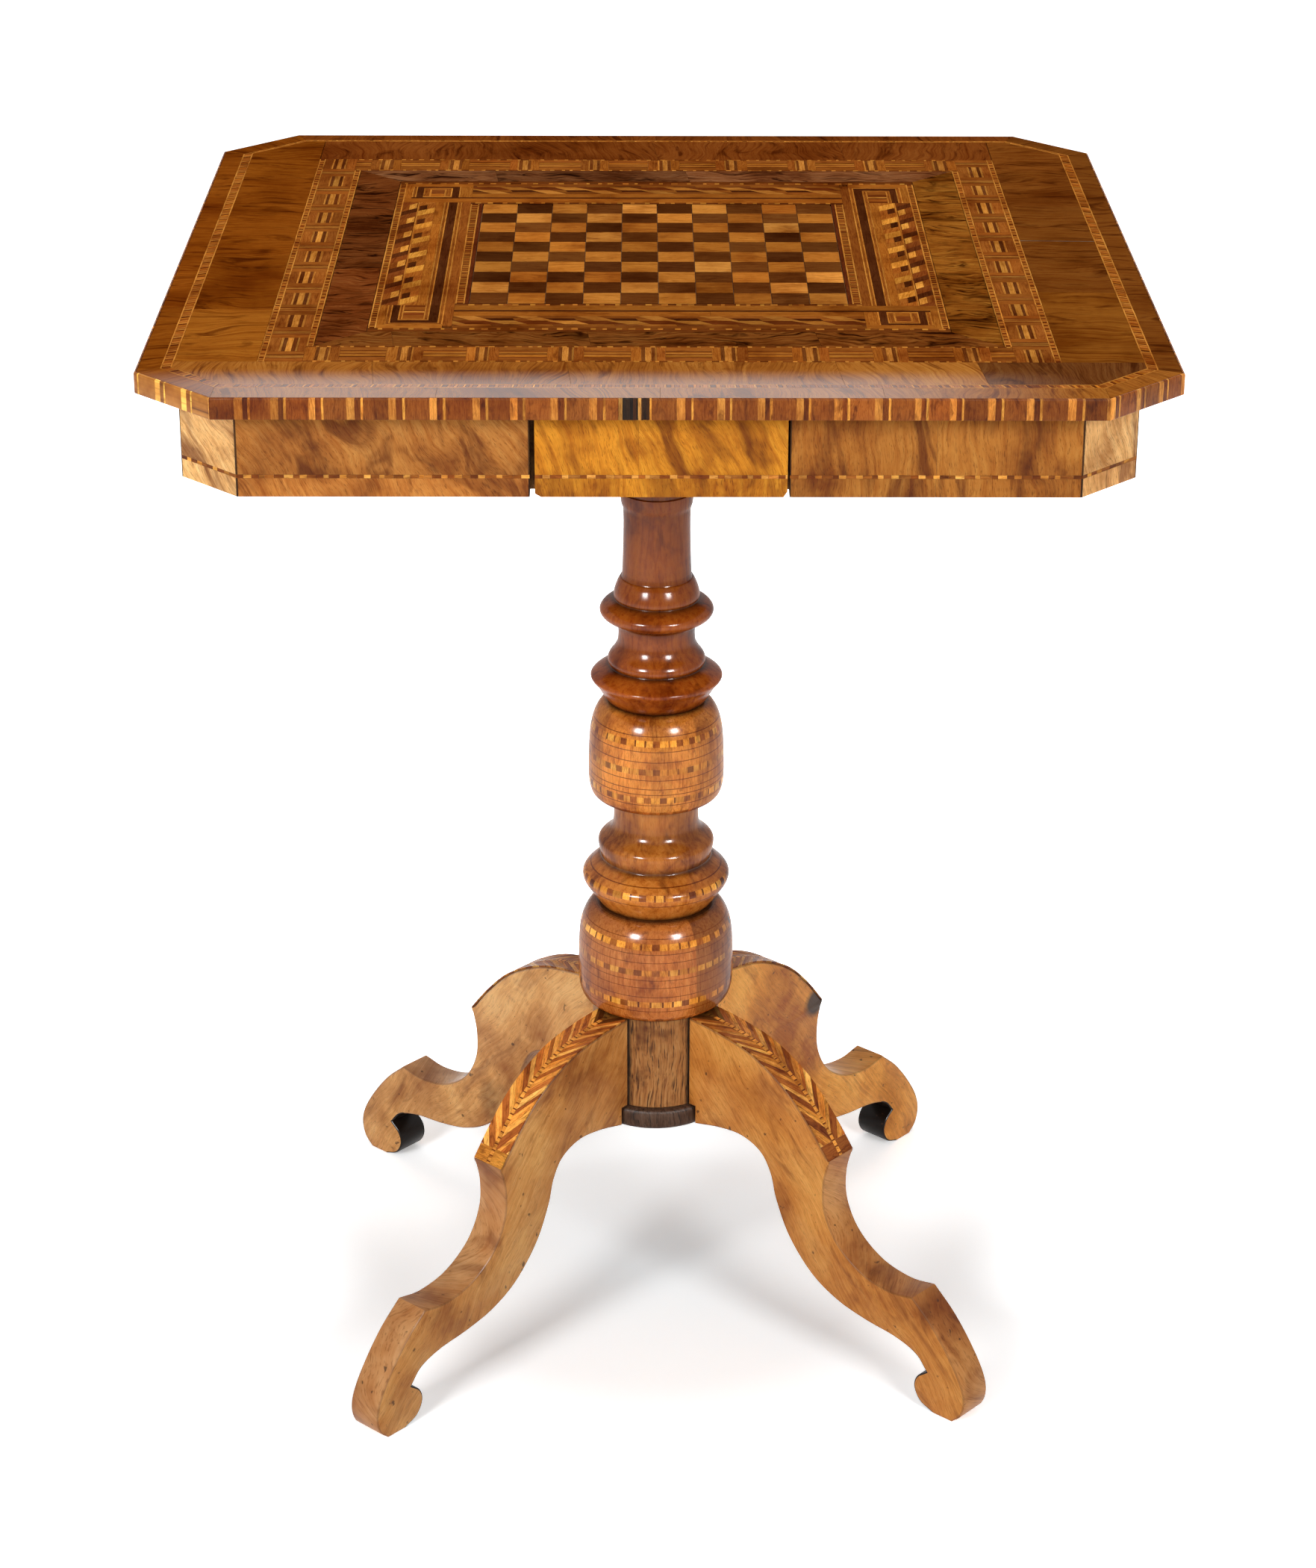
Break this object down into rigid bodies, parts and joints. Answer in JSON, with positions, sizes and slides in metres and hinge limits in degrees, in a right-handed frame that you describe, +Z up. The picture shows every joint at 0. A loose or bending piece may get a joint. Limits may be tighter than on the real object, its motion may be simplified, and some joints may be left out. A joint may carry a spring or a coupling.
{
  "type": "games table",
  "caption": "Square games table with canted corners, a marquetry gaming top, a small frieze drawer, a turned inlaid pillar and scrolled legs.",
  "frame": {"origin": "on the floor, under the middle of the top", "axes": "+Z up, -Y towards the drawer front, +X to the right seen from the front"},
  "size_m": [0.603, 0.603, 0.75],
  "materials": {
    "walnut_veneer": "varnished walnut veneer, low gloss",
    "crossbanded_walnut": "varnished crossbanded walnut",
    "basket_marquetry": "varnished marquetry of walnut, boxwood and cherry",
    "burr_walnut": "varnished burr walnut",
    "game_marquetry": "varnished marquetry",
    "chess_marquetry": "varnished walnut and boxwood squares",
    "striped_edge_veneer": "striped crossbanding, varnished",
    "frieze_walnut": "honey walnut veneer, varnished",
    "pine_carcase": "bare pine, planed",
    "turned_fruitwood": "turned fruitwood, polished",
    "inlaid_drum_walnut": "turned walnut inlaid with rows of blocks, polished",
    "solid_walnut": "worn polished walnut",
    "herringbone_marquetry": "herringbone veneer, polished",
    "drawer_lining": "bare pale wood",
    "iron_screw": "dark iron"
  },
  "bodies": {
    "table": {"top_plank_front": "pine_carcase", "top_plank_middle": "pine_carcase", "top_plank_back": "pine_carcase", "border_veneer_left": "walnut_veneer", "border_veneer_right": "walnut_veneer", "border_veneer_front": "crossbanded_walnut", "border_veneer_back": "crossbanded_walnut", "basket_band": "basket_marquetry", "burr_frame": "burr_walnut", "game_frame": "game_marquetry", "chessboard": "chess_marquetry", "edge_band_front": "striped_edge_veneer", "edge_band_front_right": "striped_edge_veneer", "edge_band_right": "striped_edge_veneer", "edge_band_back_right": "striped_edge_veneer", "edge_band_back": "striped_edge_veneer", "edge_band_back_left": "striped_edge_veneer", "edge_band_left": "striped_edge_veneer", "edge_band_front_left": "striped_edge_veneer", "apron_front_left": "frieze_walnut", "apron_front_right": "frieze_walnut", "apron_corner_front_right": "frieze_walnut", "apron_right": "frieze_walnut", "apron_corner_back_right": "frieze_walnut", "apron_back": "frieze_walnut", "apron_corner_back_left": "frieze_walnut", "apron_left": "frieze_walnut", "apron_corner_front_left": "frieze_walnut", "glue_block_left": "pine_carcase", "drawer_runner_left": "pine_carcase", "glue_block_right": "pine_carcase", "drawer_runner_right": "pine_carcase", "drawer_stop": "pine_carcase", "column_block": "pine_carcase", "dowel_upper": "pine_carcase", "dowel_lower": "pine_carcase", "block_screw_front_right": "iron_screw", "leg_front_right": "solid_walnut", "leg_veneer_front_right": "herringbone_marquetry", "block_screw_back_right": "iron_screw", "leg_back_right": "solid_walnut", "leg_veneer_back_right": "herringbone_marquetry", "block_screw_back_left": "iron_screw", "leg_back_left": "solid_walnut", "leg_veneer_back_left": "herringbone_marquetry", "block_screw_front_left": "iron_screw", "leg_front_left": "solid_walnut", "leg_veneer_front_left": "herringbone_marquetry", "column_shaft": "turned_fruitwood", "column_neck": "turned_fruitwood", "hub": "turned_fruitwood", "hub_boss": "turned_fruitwood", "upper_drum": "inlaid_drum_walnut", "lower_drum": "inlaid_drum_walnut"},
    "drawer": {"drawer_front": "frieze_walnut", "drawer_left_side": "drawer_lining", "drawer_right_side": "drawer_lining", "drawer_back": "drawer_lining", "drawer_bottom": "drawer_lining"}
  },
  "joints": [
    {"name": "drawer_slide", "type": "slide", "parent": "table", "child": "drawer", "axis": [0, -1, 0], "range_m": [0, 0.152]}
  ]
}
